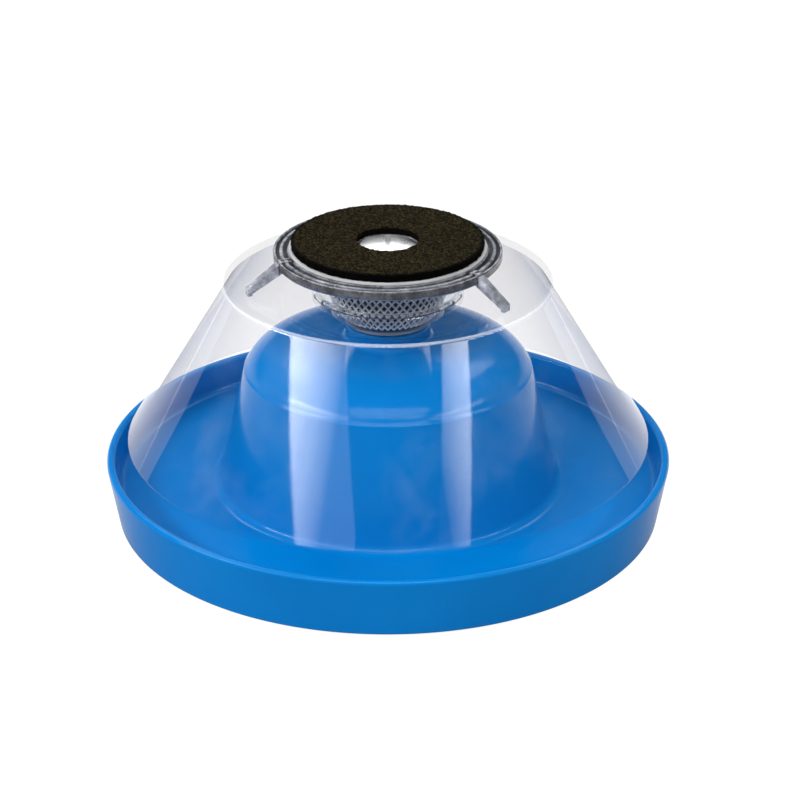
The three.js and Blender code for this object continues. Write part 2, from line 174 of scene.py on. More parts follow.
class Finish:
    # one material and the nodes that paint it
    def __init__(self, name):
        self.material = bpy.data.materials.new(name)
        self.material.use_nodes = True
        self.nodes = self.material.node_tree.nodes
        self.links = self.material.node_tree.links
        self.shader = self.nodes["Principled BSDF"]
        self.output = self.nodes["Material Output"]
        self.place = self.nodes.new("ShaderNodeTexCoord").outputs["Object"]

    def add(self, kind, **values):
        made = self.nodes.new(kind)
        for key, value in values.items():
            setattr(made, key, value)
        return made

    def join(self, start, end):
        self.links.new(start, end)

    def noiseMap(self, scale, detail=4, roughness=0.55):
        made = self.add("ShaderNodeTexNoise")
        made.inputs["Scale"].default_value = scale
        made.inputs["Detail"].default_value = detail
        made.inputs["Roughness"].default_value = roughness
        self.join(self.place, made.inputs["Vector"])
        return made.outputs["Fac"]

    def cells(self, scale):
        made = self.add("ShaderNodeTexVoronoi")
        made.inputs["Scale"].default_value = scale
        self.join(self.place, made.inputs["Vector"])
        return made

    def ramp(self, source, stops):
        made = self.add("ShaderNodeValToRGB")
        band = made.color_ramp
        while len(band.elements) < len(stops):
            band.elements.new(0.5)
        for element, (position, colour) in zip(band.elements, stops):
            element.position = position
            element.color = (*colour, 1)
        self.join(source, made.inputs["Fac"])
        return made.outputs["Color"]

    def spread(self, source, low, high, fromLow=0.3, fromHigh=0.7):
        made = self.add("ShaderNodeMapRange")
        made.inputs["From Min"].default_value = fromLow
        made.inputs["From Max"].default_value = fromHigh
        made.inputs["To Min"].default_value = low
        made.inputs["To Max"].default_value = high
        self.join(source, made.inputs["Value"])
        return made.outputs["Result"]

    def bump(self, height, strength, distance):
        made = self.add("ShaderNodeBump")
        made.inputs["Strength"].default_value = strength
        made.inputs["Distance"].default_value = distance * mm
        self.join(height, made.inputs["Height"])
        self.join(made.outputs["Normal"], self.shader.inputs["Normal"])

    def paint(self, colour, roughness):
        self.join(colour, self.shader.inputs["Base Color"])
        self.join(roughness, self.shader.inputs["Roughness"])

    def maths(self, operation, first, second, clamp=False):
        made = self.add("ShaderNodeMath", operation=operation, use_clamp=clamp)
        for socket, source in zip(made.inputs, (first, second)):
            if isinstance(source, (int, float)):
                socket.default_value = source
            else:
                self.join(source, socket)
        return made.outputs["Value"]

    def multiplied(self, colour, shade):
        made = self.add("ShaderNodeMix", data_type="RGBA", blend_type="MULTIPLY")
        made.inputs["Factor"].default_value = 1
        self.join(colour, made.inputs[6])  # 6, 7 and 2 are the node's colour sockets
        self.join(shade, made.inputs[7])
        return made.outputs[2]

    def mixed(self, share, first, second):
        made = self.add("ShaderNodeMixShader")
        for socket, source in zip(made.inputs, (share, first, second)):
            self.join(source, socket)
        return made.outputs["Shader"]

    def along(self, axis):
        # the place on one of the object's own axes
        parts = self.add("ShaderNodeSeparateXYZ")
        self.join(self.place, parts.inputs["Vector"])
        return parts.outputs[axis]

    def outward(self):
        # distance from the object's axis
        flat = self.add("ShaderNodeVectorMath", operation="MULTIPLY")
        flat.inputs[1].default_value = (1, 1, 0)
        self.join(self.place, flat.inputs[0])
        out = self.add("ShaderNodeVectorMath", operation="LENGTH")
        self.join(flat.outputs["Vector"], out.inputs[0])
        return out.outputs["Value"]

    def setUp(self, **values):
        for key, value in values.items():
            self.shader.inputs[key.replace("_", " ")].default_value = value
        return self


def bluePlastic():
    look = Finish("blueMoulded").setUp(Specular_IOR_Level=0.13)
    cloud = look.noiseMap(35, 3)
    colour = look.ramp(cloud, [(0.3, (0.0, 0.148, 0.455)), (0.7, (0.0, 0.172, 0.51))])
    look.paint(colour, look.spread(look.noiseMap(220, 5), 0.10, 0.2))
    look.bump(look.noiseMap(900, 3), 0.04, 0.05)
    return look.material


def satinPlastic(name, dark, light, rough=0.42):
    look = Finish(name)
    colour = look.ramp(look.noiseMap(60, 4), [(0.3, dark), (0.7, light)])
    look.paint(colour, look.spread(look.noiseMap(300, 4), rough - 0.06, rough + 0.08))
    look.bump(look.noiseMap(1800, 3), 0.12, 0.05)
    return look.material


def paintedShoulderHighlight(look):
    # painted highlight: a pale band along the cover's moulded shoulder, where its rounded edge catches the
    # light
    radius, top = cover["shoulderRadius"], cover["topHeight"]
    far = look.spread(look.outward(), 0, 0.3, (radius - 0.4) * mm, (radius - 0.15) * mm)
    high = look.spread(look.along("Z"), 0, 1, (top - 0.4) * mm, (top - 0.2) * mm)
    return look.maths("MULTIPLY", far, high)


def clearPlastic(name, tint, highlighted):
    # thin clear sheet: seen through, a little greyer at grazing angles, with mirrored light on top
    look = Finish(name)
    edge = look.add("ShaderNodeLayerWeight")
    edge.inputs["Blend"].default_value = 0.35
    shades = [(0.0, tint), (0.75, tuple(c * 0.99 for c in tint)), (1.0, tuple(c * 0.96 for c in tint))]
    through = look.add("ShaderNodeBsdfTransparent")
    look.join(look.ramp(edge.outputs["Facing"], shades), through.inputs["Color"])
    mirror = look.add("ShaderNodeBsdfGlossy")
    mirror.inputs["Roughness"].default_value = 0.04
    share = look.add("ShaderNodeFresnel")
    share.inputs["IOR"].default_value = 1.5
    grazing = look.add("ShaderNodeLayerWeight")
    extra = look.spread(grazing.outputs["Facing"], 0, 0.15, 0.55, 0.85)
    raised = look.maths("ADD", share.outputs["Fac"], extra, clamp=True)
    side = look.add("ShaderNodeNewGeometry")
    outer = look.maths("SUBTRACT", 1, side.outputs["Backfacing"])  # only the face towards the air mirrors
    mirrored = look.maths("MULTIPLY", raised, outer)
    sheet = look.mixed(mirrored, through.outputs["BSDF"], mirror.outputs["BSDF"])
    # pale haze, for smudges and for the painted shoulder highlight
    haze = look.add("ShaderNodeBsdfDiffuse")
    haze.inputs["Color"].default_value = (0.85, 0.87, 0.9, 1)
    smudge = look.spread(look.noiseMap(70, 6, 0.65), 0.0, 0.02, 0.5, 0.75)
    # worn holds the smudges, and where highlighted also the painted shoulder highlight
    worn = look.maths("MAXIMUM", smudge, paintedShoulderHighlight(look)) if highlighted else smudge
    look.join(look.mixed(worn, sheet, haze.outputs["BSDF"]), look.output.inputs["Surface"])
    return look.material


def clearMoulding(name, tint):
    # thick clear plastic that bends what is behind it
    look = Finish(name).setUp(Base_Color=(*tint, 1), Roughness=0.05, IOR=1.46, Transmission_Weight=1)
    look.bump(look.noiseMap(420, 4), 0.25, 0.2)
    return look.material


def smokyPlastic():
    # see-through grey, its grooves and outer wall darkened by painted shade, their lips and the arms
    # lightened by painted highlight
    look = Finish("smokyClear").setUp(IOR=1.5, Transmission_Weight=0.4)
    vein = look.noiseMap(420, 6, 0.7)
    tones = [(0.35, (0.10, 0.105, 0.12)), (0.5, (0.24, 0.25, 0.285)), (0.66, (0.52, 0.54, 0.59))]
    # factors of painted shade and painted highlight on the colour, set across the radius: grooves, lips,
    # outer wall and arms
    dark, pale, plain, wall, arms = 0.3, 1.5, 1.0, 0.36, 1.6
    steps = [(0.0, plain), (0.08, pale), (0.16, dark), (0.38, dark), (0.44, pale), (0.54, pale), (0.60, dark),
             (0.76, dark), (0.82, pale), (0.89, plain), (0.915, wall), (0.95, wall), (1.0, arms)]
    inner, outer = retainer["grooves"][0] - 0.8, retainer["radius"] + 0.2
    across = look.spread(look.outward(), 0, 1, inner * mm, outer * mm)
    paintedShadeBands = look.ramp(across, [(place, (shade,) * 3) for place, shade in steps])
    look.paint(look.multiplied(look.ramp(vein, tones), paintedShadeBands), look.spread(look.noiseMap(500, 3), 0.08, 0.28))
    look.bump(vein, 0.35, 0.15)
    return look.material


def paintedSideShade(look, top, radius):
    # painted shade: 1 on a disc's flat top and much less down its side and near its outer edge, both sizes in
    # millimetres
    level = look.spread(look.along("Z"), 0.06, 1, (top - 0.2) * mm, (top + 0.02) * mm)
    rim = look.spread(look.outward(), 1, 0.1, (radius - 0.7) * mm, (radius - 0.3) * mm)
    return look.maths("MULTIPLY", level, rim)


def porousGrit(name, dark, mid, light, side=None):
    look = Finish(name).setUp(Specular_IOR_Level=0.05)
    grain = look.cells(3600)
    speck = look.add("ShaderNodeSeparateColor")
    look.join(grain.outputs["Color"], speck.inputs["Color"])
    colour = look.ramp(speck.outputs["Red"], [(0.0, dark), (0.55, mid), (0.93, light)])
    # a given side gets painted shade on the colour
    if side:
        colour = look.multiplied(colour, paintedSideShade(look, *side))
    look.paint(colour, look.spread(look.noiseMap(900, 3), 0.75, 0.95))
    look.bump(grain.outputs["Distance"], 0.9, 0.25)
    return look.material


def metal(name, colour, rough, scratch=600, metallic=1.0):
    look = Finish(name).setUp(Metallic=metallic, Base_Color=(*colour, 1))
    worn = look.spread(look.noiseMap(scratch, 5), rough * 0.7, rough * 1.4)
    look.join(worn, look.shader.inputs["Roughness"])
    look.bump(look.noiseMap(scratch * 3, 3), 0.06, 0.04)
    return look.material


def castIron():
    look = Finish("castWeight").setUp(Metallic=0.6, Roughness=0.7)
    tones = [(0.35, (0.06, 0.065, 0.07)), (0.6, (0.13, 0.13, 0.135)), (0.78, (0.16, 0.10, 0.06))]
    look.join(look.ramp(look.noiseMap(140, 6, 0.65), tones), look.shader.inputs["Base Color"])
    look.bump(look.noiseMap(700, 5), 0.5, 0.3)
    return look.material


def rubber(name, shade):
    look = Finish(name)
    dark = tuple(c * 0.8 for c in shade)
    colour = look.ramp(look.noiseMap(200, 4), [(0.3, dark), (0.7, shade)])
    look.paint(colour, look.spread(look.noiseMap(700, 3), 0.6, 0.8))
    look.bump(look.noiseMap(2500, 3), 0.2, 0.06)
    return look.material


blue = bluePlastic()
plateBlue = satinPlastic("plateBlue", (0.0, 0.10, 0.33), (0.0, 0.13, 0.40))
clearBowl = clearPlastic("clearBowl", (0.95, 0.96, 0.97), False)
clearHub = clearMoulding("clearHub", (0.93, 0.95, 0.97))
coreGrit = porousGrit("coreGrit", (0.01, 0.01, 0.011), (0.06, 0.06, 0.063), (0.2, 0.2, 0.205))
wireSilver = metal("wireSilver", (0.97, 0.97, 0.98), 0.35, 600, 0.15)
screwSteel = metal("screwSteel", (0.72, 0.73, 0.75), 0.3)
domeChrome = metal("domeChrome", (0.92, 0.93, 0.95), 0.3, 120)
weightIron = castIron()
padRubber = rubber("padRubber", (0.02, 0.02, 0.022))
sealRubber = rubber("sealRubber", (0.30, 0.31, 0.33))
elbowPlastic = satinPlastic("elbowPlastic", (0.016, 0.022, 0.03), (0.022, 0.03, 0.04), 0.35)
nutNylon = satinPlastic("nutNylon", (0.62, 0.64, 0.65), (0.72, 0.73, 0.74), 0.4)
tapeFoam = satinPlastic("tapeFoam", (0.38, 0.39, 0.40), (0.58, 0.58, 0.59), 0.6)
print("materials made")


# every piece's sizes are in millimetres, with heights from the ground
tray = {
    "rimRadius": 50.0, "rimTop": 11.25, "rimWall": 1.5, "skirtRadius": 48.1, "skirtLow": 0.4,
    "floorTop": 5.8, "floorThick": 1.6, "cornerRound": 1.3,
    "bossFoot": 30.2, "shoulderRadius": 25.3, "shoulderHeight": 27.2, "shoulderStep": 0.3,
    "bossTopRadius": 13.0, "bossTop": 32.8, "bossWall": 1.8, "bulge": 22.4, "stemHole": 5.3,
    "collarRadius": 7.4, "collarTop": 35.7,
    "pipeHeight": 5.4, "tunnelRadius": 4.1, "tunnelWall": 1.3, "tunnelFrom": 24.2, "ridgeFoot": 0.8,
    "pillarRadius": 2.8, "pillarLow": 4.5, "pillarTall": 7.5,
}


def archOutline(radius, low, height):
    # a round arch on straight legs
    steps = 24
    angles = [math.pi * k / steps for k in range(steps + 1)]
    arch = [(radius * math.cos(a), height + radius * math.sin(a)) for a in angles]
    return [(-radius, low), (radius, low), *arch]


def alongY(end):
    # stands an extruded outline up in the XZ plane, ending at y = end
    return Matrix.Translation((0, end * mm, 0)) @ Matrix.Rotation(math.pi / 2, 4, "X")


def makeTray():
    t = tray
    inner = t["rimRadius"] - t["rimWall"]
    lean = (t["rimRadius"] - t["skirtRadius"]) / (t["rimTop"] - t["skirtLow"])
    wallFoot = t["skirtRadius"] + lean * (t["floorTop"] - t["skirtLow"]) - t["rimWall"]
    floorLow = t["floorTop"] - t["floorThick"]
    wall = t["bossWall"]
    step = t["shoulderStep"]
    ceiling = t["bossTop"] - wall
    shoulder = bend(
        (t["shoulderRadius"] - step, t["shoulderHeight"] + 0.3), (t["bulge"], t["bossTop"]),
        (t["bossTopRadius"], t["bossTop"]), 22,
    )
    inside = bend(
        (t["bossTopRadius"] - wall / 2, ceiling), (t["bulge"] - wall, ceiling),
        (t["shoulderRadius"] - wall, t["shoulderHeight"]), 12,
    )
    outline = [
        (t["skirtRadius"] - t["rimWall"], t["skirtLow"], 0.2),
        (t["skirtRadius"], t["skirtLow"], 0.45),
        (t["rimRadius"], t["rimTop"], 0.72),
        (inner, t["rimTop"], 0.72),
        (wallFoot, t["floorTop"], t["cornerRound"]),
        (t["bossFoot"], t["floorTop"], t["cornerRound"] * 1.3),
        (t["shoulderRadius"], t["shoulderHeight"], 0.3),
        *shoulder,
        (t["collarRadius"], t["bossTop"], 1.0),
        (t["collarRadius"], t["collarTop"], 0.5),
        (t["stemHole"], t["collarTop"], 0.3),
        (t["stemHole"], ceiling, 0.1),
        *inside,
        (t["bossFoot"] - wall, floorLow, 0.3),
        (t["skirtRadius"] + lean * (floorLow - t["skirtLow"]) - t["rimWall"], floorLow, 0.3),
    ]
    body = turned("tray_body", cornersRounded(outline, 5), blue, 192)
    ridgeFrom, ridgeTo = t["bossFoot"] - wall / 2, wallFoot + t["rimWall"] / 2
    outer = archOutline(t["tunnelRadius"] + t["tunnelWall"], floorLow + t["ridgeFoot"], t["pipeHeight"])
    ridge = extruded("ridge", outer, alongY(ridgeTo), ridgeTo - ridgeFrom, blue)
    sides = 24
    angles = [2 * math.pi * k / sides for k in range(sides)]
    lift = Matrix.Translation((0, 0, t["pillarLow"] * mm))
    pillars = []
    for x, y in screwPlaces():
        ring = [(x + t["pillarRadius"] * math.cos(a), y + t["pillarRadius"] * math.sin(a)) for a in angles]
        pillars.append(extruded("pillar", ring, lift, t["pillarTall"], blue))
    combined(body, [ridge, *pillars], "UNION")
    hollow = archOutline(t["tunnelRadius"], -2, t["pipeHeight"])
    outside = t["rimRadius"] + 2
    tunnel = extruded("tunnel", hollow, alongY(outside), outside - t["tunnelFrom"], blue)
    return combined(body, [tunnel], "DIFFERENCE")


def screwPlaces():
    places = []
    for i in (1, 2, 3):
        low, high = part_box(f"plate_screw_{i}")
        places.append(((low.x + high.x) / 2 / mm, (low.y + high.y) / 2 / mm))
    return places


trayBody = makeTray()
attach(trayBody, "base")
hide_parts("base_tray")
print("tray made")


cover = {
    "footRadius": 46.3, "footHeight": 14.15, "shoulderRadius": 28.6, "topHeight": 43.67, "wall": 1.2,
    "holeRadius": 12.3, "edgeRound": 0.7,
}


def makeCover():
    c = cover
    lean = (c["footRadius"] - c["shoulderRadius"]) / (c["topHeight"] - c["footHeight"])
    across = c["wall"] * math.hypot(1, lean)
    under = c["topHeight"] - c["wall"]
    outline = [
        (c["footRadius"] - across, c["footHeight"], 0.3),
        (c["footRadius"], c["footHeight"], 0.3),
        (c["shoulderRadius"], c["topHeight"], c["edgeRound"]),
        (c["holeRadius"], c["topHeight"], 0.3),
        (c["holeRadius"], under, 0.2),
        (c["shoulderRadius"] + lean * c["wall"] - across, under, 0.3),
    ]
    return turned("cover_shell", cornersRounded(outline, 4), clearSheet, 192)


# True gives the sheet the painted shoulder highlight
clearSheet = clearPlastic("clearSheet", (0.985, 0.982, 0.985), True)
coverShell = makeCover()
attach(coverShell, "cover")
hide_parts("clear_cover")
print("cover made")


hub = {
    "footRadius": 8.4, "rimRadius": 11.8, "wall": 1.1, "floor": 1.4, "footHeight": 36.9, "topHeight": 46.2,
    "ledgeRadius": 13.2, "ledgeTop": 41.17, "ledgeThick": 1.0, "ledgeDepth": 3.4,
    "stemRadius": 4.7, "stemLow": 26.9, "bore": 3.0, "boreRoof": 1.1, "airHole": 1.3,
    "coreGap": 1.2, "coreHole": 3.7, "coreRoughness": 0.06, "coreLumps": 0.5,
    "meshTop": 47.2, "meshGap": 0.6, "wireRadius": 0.18, "wires": 48, "twist": 0.8,
}


def bowlSide(inset, low):
    # the bowl's swelling side, moved inwards by the inset
    h = hub
    return bend(
        (h["footRadius"] - inset, low), (h["rimRadius"] - 0.5 - inset, low + 1.2),
        (h["rimRadius"] - 0.2 - inset, h["ledgeTop"] + 1), 10,
    )


def makeCup():
    h = hub
    floorTop = h["footHeight"] + h["floor"]
    outline = [
        (h["bore"], h["stemLow"]),
        (h["stemRadius"], h["stemLow"], 0.3),
        (h["stemRadius"], h["footHeight"], 0.2),
        *bowlSide(0, h["footHeight"])[:4],
        (h["ledgeRadius"] - h["ledgeDepth"], h["ledgeTop"] - h["ledgeThick"], 0.3),
        (h["ledgeRadius"], h["ledgeTop"] - h["ledgeThick"], 0.3),
        (h["ledgeRadius"], h["ledgeTop"], 0.3),
        (h["rimRadius"] - 0.2, h["ledgeTop"], 0.4),
        (h["rimRadius"], h["topHeight"], 0.45),
        (h["rimRadius"] - h["wall"], h["topHeight"], 0.45),
        *reversed(bowlSide(h["wall"], floorTop)),
        (h["airHole"], floorTop), (h["airHole"], h["footHeight"] - h["boreRoof"]),
        (h["bore"], h["footHeight"] - h["boreRoof"]),
    ]
    return turned("hub_bowl", cornersRounded(outline, 4), clearBowl, 128)


def setInput(modifier, name, value):
    for item in modifier.node_group.interface.items_tree:
        if item.item_type == "SOCKET" and item.in_out == "INPUT" and item.name == name:
            modifier[item.identifier] = value


class Tree:
    # one Geometry Nodes group under construction; whole and real name its number inputs
    def __init__(self, name, whole, real):
        self.tree = bpy.data.node_groups.new(name, "GeometryNodeTree")
        sockets = self.tree.interface
        sockets.new_socket(name="Geometry", in_out="OUTPUT", socket_type="NodeSocketGeometry")
        sockets.new_socket(name="Geometry", in_out="INPUT", socket_type="NodeSocketGeometry")
        for label in whole:
            sockets.new_socket(name=label, in_out="INPUT", socket_type="NodeSocketInt")
        for label in real:
            sockets.new_socket(name=label, in_out="INPUT", socket_type="NodeSocketFloat")
        self.given = self.tree.nodes.new("NodeGroupInput").outputs
        self.result = self.tree.nodes.new("NodeGroupOutput")

    def add(self, kind, wires=None, **values):
        made = self.tree.nodes.new(kind)
        for key, value in values.items():
            setattr(made, key, value)
        for key, source in (wires or {}).items():
            if isinstance(source, (int, float, tuple)):
                made.inputs[key].default_value = source
            else:
                self.tree.links.new(source, made.inputs[key])
        return made.outputs

    def maths(self, operation, first, second=0.0):
        return self.add("ShaderNodeMath", {0: first, 1: second}, operation=operation)[0]

    def drawn(self, kind, low, high, seed):
        # a random value between two bounds for each instance
        made = self.add("FunctionNodeRandomValue", {"Min": low, "Max": high, "Seed": seed}, data_type=kind)
        return next(socket for socket in made if socket.enabled)

    def finish(self, geometry, material):
        whole = self.add("GeometryNodeRealizeInstances", {"Geometry": geometry})
        painted = self.add("GeometryNodeSetMaterial", {"Geometry": whole["Geometry"]})
        painted["Geometry"].node.inputs["Material"].default_value = material
        self.tree.links.new(painted["Geometry"], self.result.inputs["Geometry"])
        return self.tree


def wovenWires():
    # wires wound both ways round a bowl, so that they cross as diamonds
    tree = Tree("wovenWires", ["Wires"], ["Foot Radius", "Rim Radius", "Low", "High", "Twist", "Wire Radius"])
    points, sides, bulge, waves, waveHeight = 18, 6, 4.4, 60.0, 0.06 * mm
    given = tree.given
    sets = []
    for way in (1, -1):
        line = tree.add("GeometryNodeCurvePrimitiveLine")["Curve"]
        fine = tree.add("GeometryNodeResampleCurve", {"Curve": line, "Count": points})["Curve"]
        along = tree.add("GeometryNodeSplineParameter")["Factor"]
        rise = tree.maths("SUBTRACT", given["High"], given["Low"])
        height = tree.maths("ADD", given["Low"], tree.maths("MULTIPLY", along, rise))
        widen = tree.maths("SUBTRACT", given["Rim Radius"], given["Foot Radius"])
        swell = tree.maths("SUBTRACT", 1.0, tree.maths("POWER", tree.maths("SUBTRACT", 1.0, along), bulge))
        out = tree.maths("ADD", given["Foot Radius"], tree.maths("MULTIPLY", widen, swell))
        sway = tree.maths("SINE", tree.maths("MULTIPLY", along, waves))
        radius = tree.maths("ADD", out, tree.maths("MULTIPLY", sway, way * waveHeight))
        angle = tree.maths("MULTIPLY", tree.maths("MULTIPLY", along, given["Twist"]), float(way))
        x = tree.maths("MULTIPLY", radius, tree.maths("COSINE", angle))
        y = tree.maths("MULTIPLY", radius, tree.maths("SINE", angle))
        point = tree.add("ShaderNodeCombineXYZ", {0: x, 1: y, 2: height})[0]
        shaped = tree.add("GeometryNodeSetPosition", {"Geometry": fine, "Position": point})["Geometry"]
        section = tree.add("GeometryNodeCurvePrimitiveCircle", {
            "Resolution": sides, "Radius": given["Wire Radius"]})["Curve"]
        tube = tree.add("GeometryNodeCurveToMesh", {
            "Curve": shaped, "Profile Curve": section, "Fill Caps": 1})["Mesh"]
        starts = tree.add("GeometryNodePoints", {"Count": given["Wires"]})["Geometry"]
        index = tree.add("GeometryNodeInputIndex")["Index"]
        share = tree.maths("DIVIDE", index, given["Wires"])
        turn = tree.add("ShaderNodeCombineXYZ", {2: tree.maths("MULTIPLY", share, 2 * math.pi)})[0]
        sets.append(tree.add("GeometryNodeInstanceOnPoints", {
            "Points": starts, "Instance": tube, "Rotation": turn})["Instances"])
    both = tree.tree.nodes.new("GeometryNodeJoinGeometry")
    for one in sets:
        tree.tree.links.new(one, both.inputs["Geometry"])
    return tree.finish(both.outputs["Geometry"], wireSilver)


def grown(name, tree, values, start=None):
    # runs a tree on a mesh, or on nothing, and keeps the plain result
    mesh = start.data.copy() if start else bpy.data.meshes.new(name)
    made = bpy.data.objects.new(name, mesh)
    bpy.context.collection.objects.link(made)
    modifier = made.modifiers.new("tree", "NODES")
    modifier.node_group = tree
    for key, value in values.items():
        setInput(modifier, key, value)
    baked(made)
    made.data.polygons.foreach_set("use_smooth", [True] * len(made.data.polygons))
    return made


def makeMesh():
    h = hub
    return grown("mesh_wires", wovenWires(), {
        "Wires": h["wires"], "Twist": h["twist"], "Wire Radius": h["wireRadius"] * mm,
        "Foot Radius": (h["footRadius"] - h["meshGap"]) * mm,
        "Rim Radius": (h["rimRadius"] - h["wall"] - h["meshGap"]) * mm,
        "Low": (h["footHeight"] + 0.4) * mm, "High": (h["meshTop"] - 0.2) * mm,
    })


def makeCore():
    h = hub
    inset = h["wall"] + h["coreGap"]
    low = h["footHeight"] + 0.4
    top = h["meshTop"] - 0.8
    side = bowlSide(inset, low)
    rise = [(h["rimRadius"] - inset, side[-1][1] + (top - side[-1][1]) * k / 8) for k in range(1, 8)]
    outline = [
        (h["coreHole"], low, 0.1), *side, *rise,
        (h["rimRadius"] - inset, top, 0.3), (h["coreHole"], top, 0.1),
    ]
    core = turned("stone_body", cornersRounded(outline, 3), coreGrit, 160)
    return roughened(core, h["coreRoughness"], h["coreLumps"])


hubBowl = makeCup()
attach(hubBowl, "base")
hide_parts("hub_cup")
meshWires = makeMesh()
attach(meshWires, "base")
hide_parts("mesh_sleeve")
stoneBody = makeCore()
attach(stoneBody, "base")
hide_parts("stone_core")
print("hub made")


retainer = {
    "radius": 19.8, "top": 49.2, "thick": 1.7, "hole": 1.8, "grooves": (17.7, 19.0), "grooveDepth": 0.7,
    "armWidth": 1.6, "armThick": 1.2, "armReach": 25.4, "armFoot": 43.97, "armBevel": 0.07,
    "armAngles": (199, 322, 81),
}


def makeRetainer():
    r = retainer
    low = r["top"] - r["thick"]
    outline = [
        (r["hole"], low),
        (r["radius"] - 0.4, low, 0.2),
        (r["radius"], low + 0.5, 0.2),
        (r["radius"], r["top"], 0.25),
    ]
    bottom = r["top"] - r["grooveDepth"]
    for groove in reversed(r["grooves"]):
        for across, height in ((0.35, r["top"]), (0.2, bottom), (-0.2, bottom), (-0.35, r["top"])):
            outline.append((groove + across, height, 0.1))
    outline.append((r["hole"], r["top"]))
    plate = turned("retainer_plate", cornersRounded(outline, 3), smoky, 160)
    root = r["radius"] - 2.6
    toe, foot, crest = r["armReach"] - 0.8, r["armFoot"], r["top"] + 0.3
    side = [
        (root, low), (r["radius"] - 0.8, low), (toe, foot + 0.4), (toe, foot), (r["armReach"], foot),
        (r["armReach"], foot + r["armThick"]), (r["radius"] - 0.4, crest), (root, crest),
    ]
    arms = []
    for degrees in r["armAngles"]:
        place = Matrix.Rotation(math.radians(degrees), 4, "Z") @ alongY(r["armWidth"] / 2)
        arms.append(extruded("arm", side, place, r["armWidth"], smoky, r["armBevel"]))
    return combined(plate, arms, "UNION")


disc = {
    "radius": 16.6, "hole": 5.4, "low": 49.78, "thick": 1.35, "paintedShadeTop": 51.0,
    "skin": 0.12, "roughness": 0.09, "lumps": 0.55,
    "grains": 8, "grainSize": 0.11, "grainSpread": (0.45, 1.3), "seed": 3,  # grains per square millimetre
}


def makeDisc():
    d = disc
    low, top = d["low"], d["low"] + d["thick"] - d["skin"]
    middle = (low + top) / 2
    rows = 26
    across = [d["radius"] + (d["hole"] - d["radius"]) * k / rows for k in range(1, rows)]
    outline = [
        (d["hole"], low, 0.1), (d["radius"], low, 0.15), (d["radius"], middle), (d["radius"], top, 0.2),
        *[(r, top) for r in across], (d["hole"], top, 0.2), (d["hole"], middle),
    ]
    body = turned("disc_body", cornersRounded(outline, 3), discGrit, 256, 60)
    return roughened(body, d["roughness"], d["lumps"])


def scatteredGrit():
    # small angular grains bonded over the disc's skin
    tree = Tree("scatteredGrit", ["Seed"], ["Density", "Grain"])
    given = tree.given
    spots = tree.add("GeometryNodeDistributePointsOnFaces", {
        "Mesh": given["Geometry"], "Density": given["Density"], "Seed": given["Seed"]})
    grain = tree.add("GeometryNodeMeshIcoSphere", {"Radius": given["Grain"], "Subdivisions": 1})["Mesh"]
    small, large = disc["grainSpread"]
    size = tree.drawn("FLOAT", small, large, 5)
    turn = tree.drawn("FLOAT_VECTOR", (0, 0, 0), (6.28, 6.28, 6.28), 9)  # up to a whole turn
    placed = tree.add("GeometryNodeInstanceOnPoints", {
        "Points": spots["Points"], "Instance": grain, "Rotation": turn, "Scale": size})["Instances"]
    return tree.finish(placed, discGrit)


# the height of both its ends and the width of its head come from the frame
screw = {"dome": 0.75, "shank": 1.5, "tip": 1.0, "slotDepth": 0.4, "slotWidth": 0.84, "slotLength": 12}


def makeScrew():
    # dome head with a slot, shank below
    s = screw
    low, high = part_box("clamp_screw")
    tip, top = low.z / mm, high.z / mm
    headRadius = (high.x - low.x) / 2 / mm
    sphere = (headRadius ** 2 + s["dome"] ** 2) / (2 * s["dome"])
    edge = math.acos(headRadius / sphere)
    steps = 12
    dome = []
    for k in range(steps):
        angle = edge + (math.pi / 2 - edge) * k / steps
        dome.append((sphere * math.cos(angle), top - sphere + sphere * math.sin(angle)))
    head = top - s["dome"]
    outline = [
        (0, tip), (s["tip"], tip, 0.1), (s["shank"], tip + 0.5), (s["shank"], head), (headRadius, head),
        *dome, (0, top),
    ]
    body = turned("dome_screw", cornersRounded(outline, 3), domeChrome, 96)
    x, y = s["slotWidth"] / 2, s["slotLength"] / 2
    place = Matrix.Translation((0, 0, (top - s["slotDepth"]) * mm))
    slot = extruded("slot", [(-x, -y), (x, -y), (x, y), (-x, y)], place, 3, domeChrome)
    return combined(body, [slot], "DIFFERENCE")


smoky = smokyPlastic()
retainerPlate = makeRetainer()
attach(retainerPlate, "cap")
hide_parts("retainer_spider")
# the disc's grit gets painted shade down its side and near its outer edge
discGrit = porousGrit("discGrit", (0.002, 0.002, 0.001), (0.009, 0.0075, 0.0025), (0.045, 0.032, 0.011),
                      (disc["paintedShadeTop"], disc["radius"]))
discBody = makeDisc()
discGrains = grown("disc_grains", scatteredGrit(), {
    "Density": disc["grains"] / mm ** 2, "Grain": disc["grainSize"] * mm, "Seed": disc["seed"]}, discBody)
for piece in (discBody, discGrains):
    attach(piece, "cap")
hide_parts("porous_disc")
domeScrew = makeScrew()
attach(domeScrew, "clamp")
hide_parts("clamp_screw")
print("retainer, disc and screw made")


keptFinishes = {
    "bottom_plate": plateBlue, "ballast_ring": weightIron,
    "plate_screw_1": screwSteel, "plate_screw_2": screwSteel, "plate_screw_3": screwSteel,
    "foot_pad_1": padRubber, "foot_pad_2": padRubber, "foot_pad_3": padRubber,
    "air_elbow": elbowPlastic, "inlet_grommet": padRubber, "riser_tube": clearHub, "hub_nut": nutNylon,
    "hub_seal": sealRubber, "centre_post": screwSteel, "cover_seal": clearHub, "tape_ring": tapeFoam,
    "clamp_washer": screwSteel,
}
for node, finish in keptFinishes.items():
    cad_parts[node].data.materials.clear()
    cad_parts[node].data.materials.append(finish)
print("kept pieces painted")


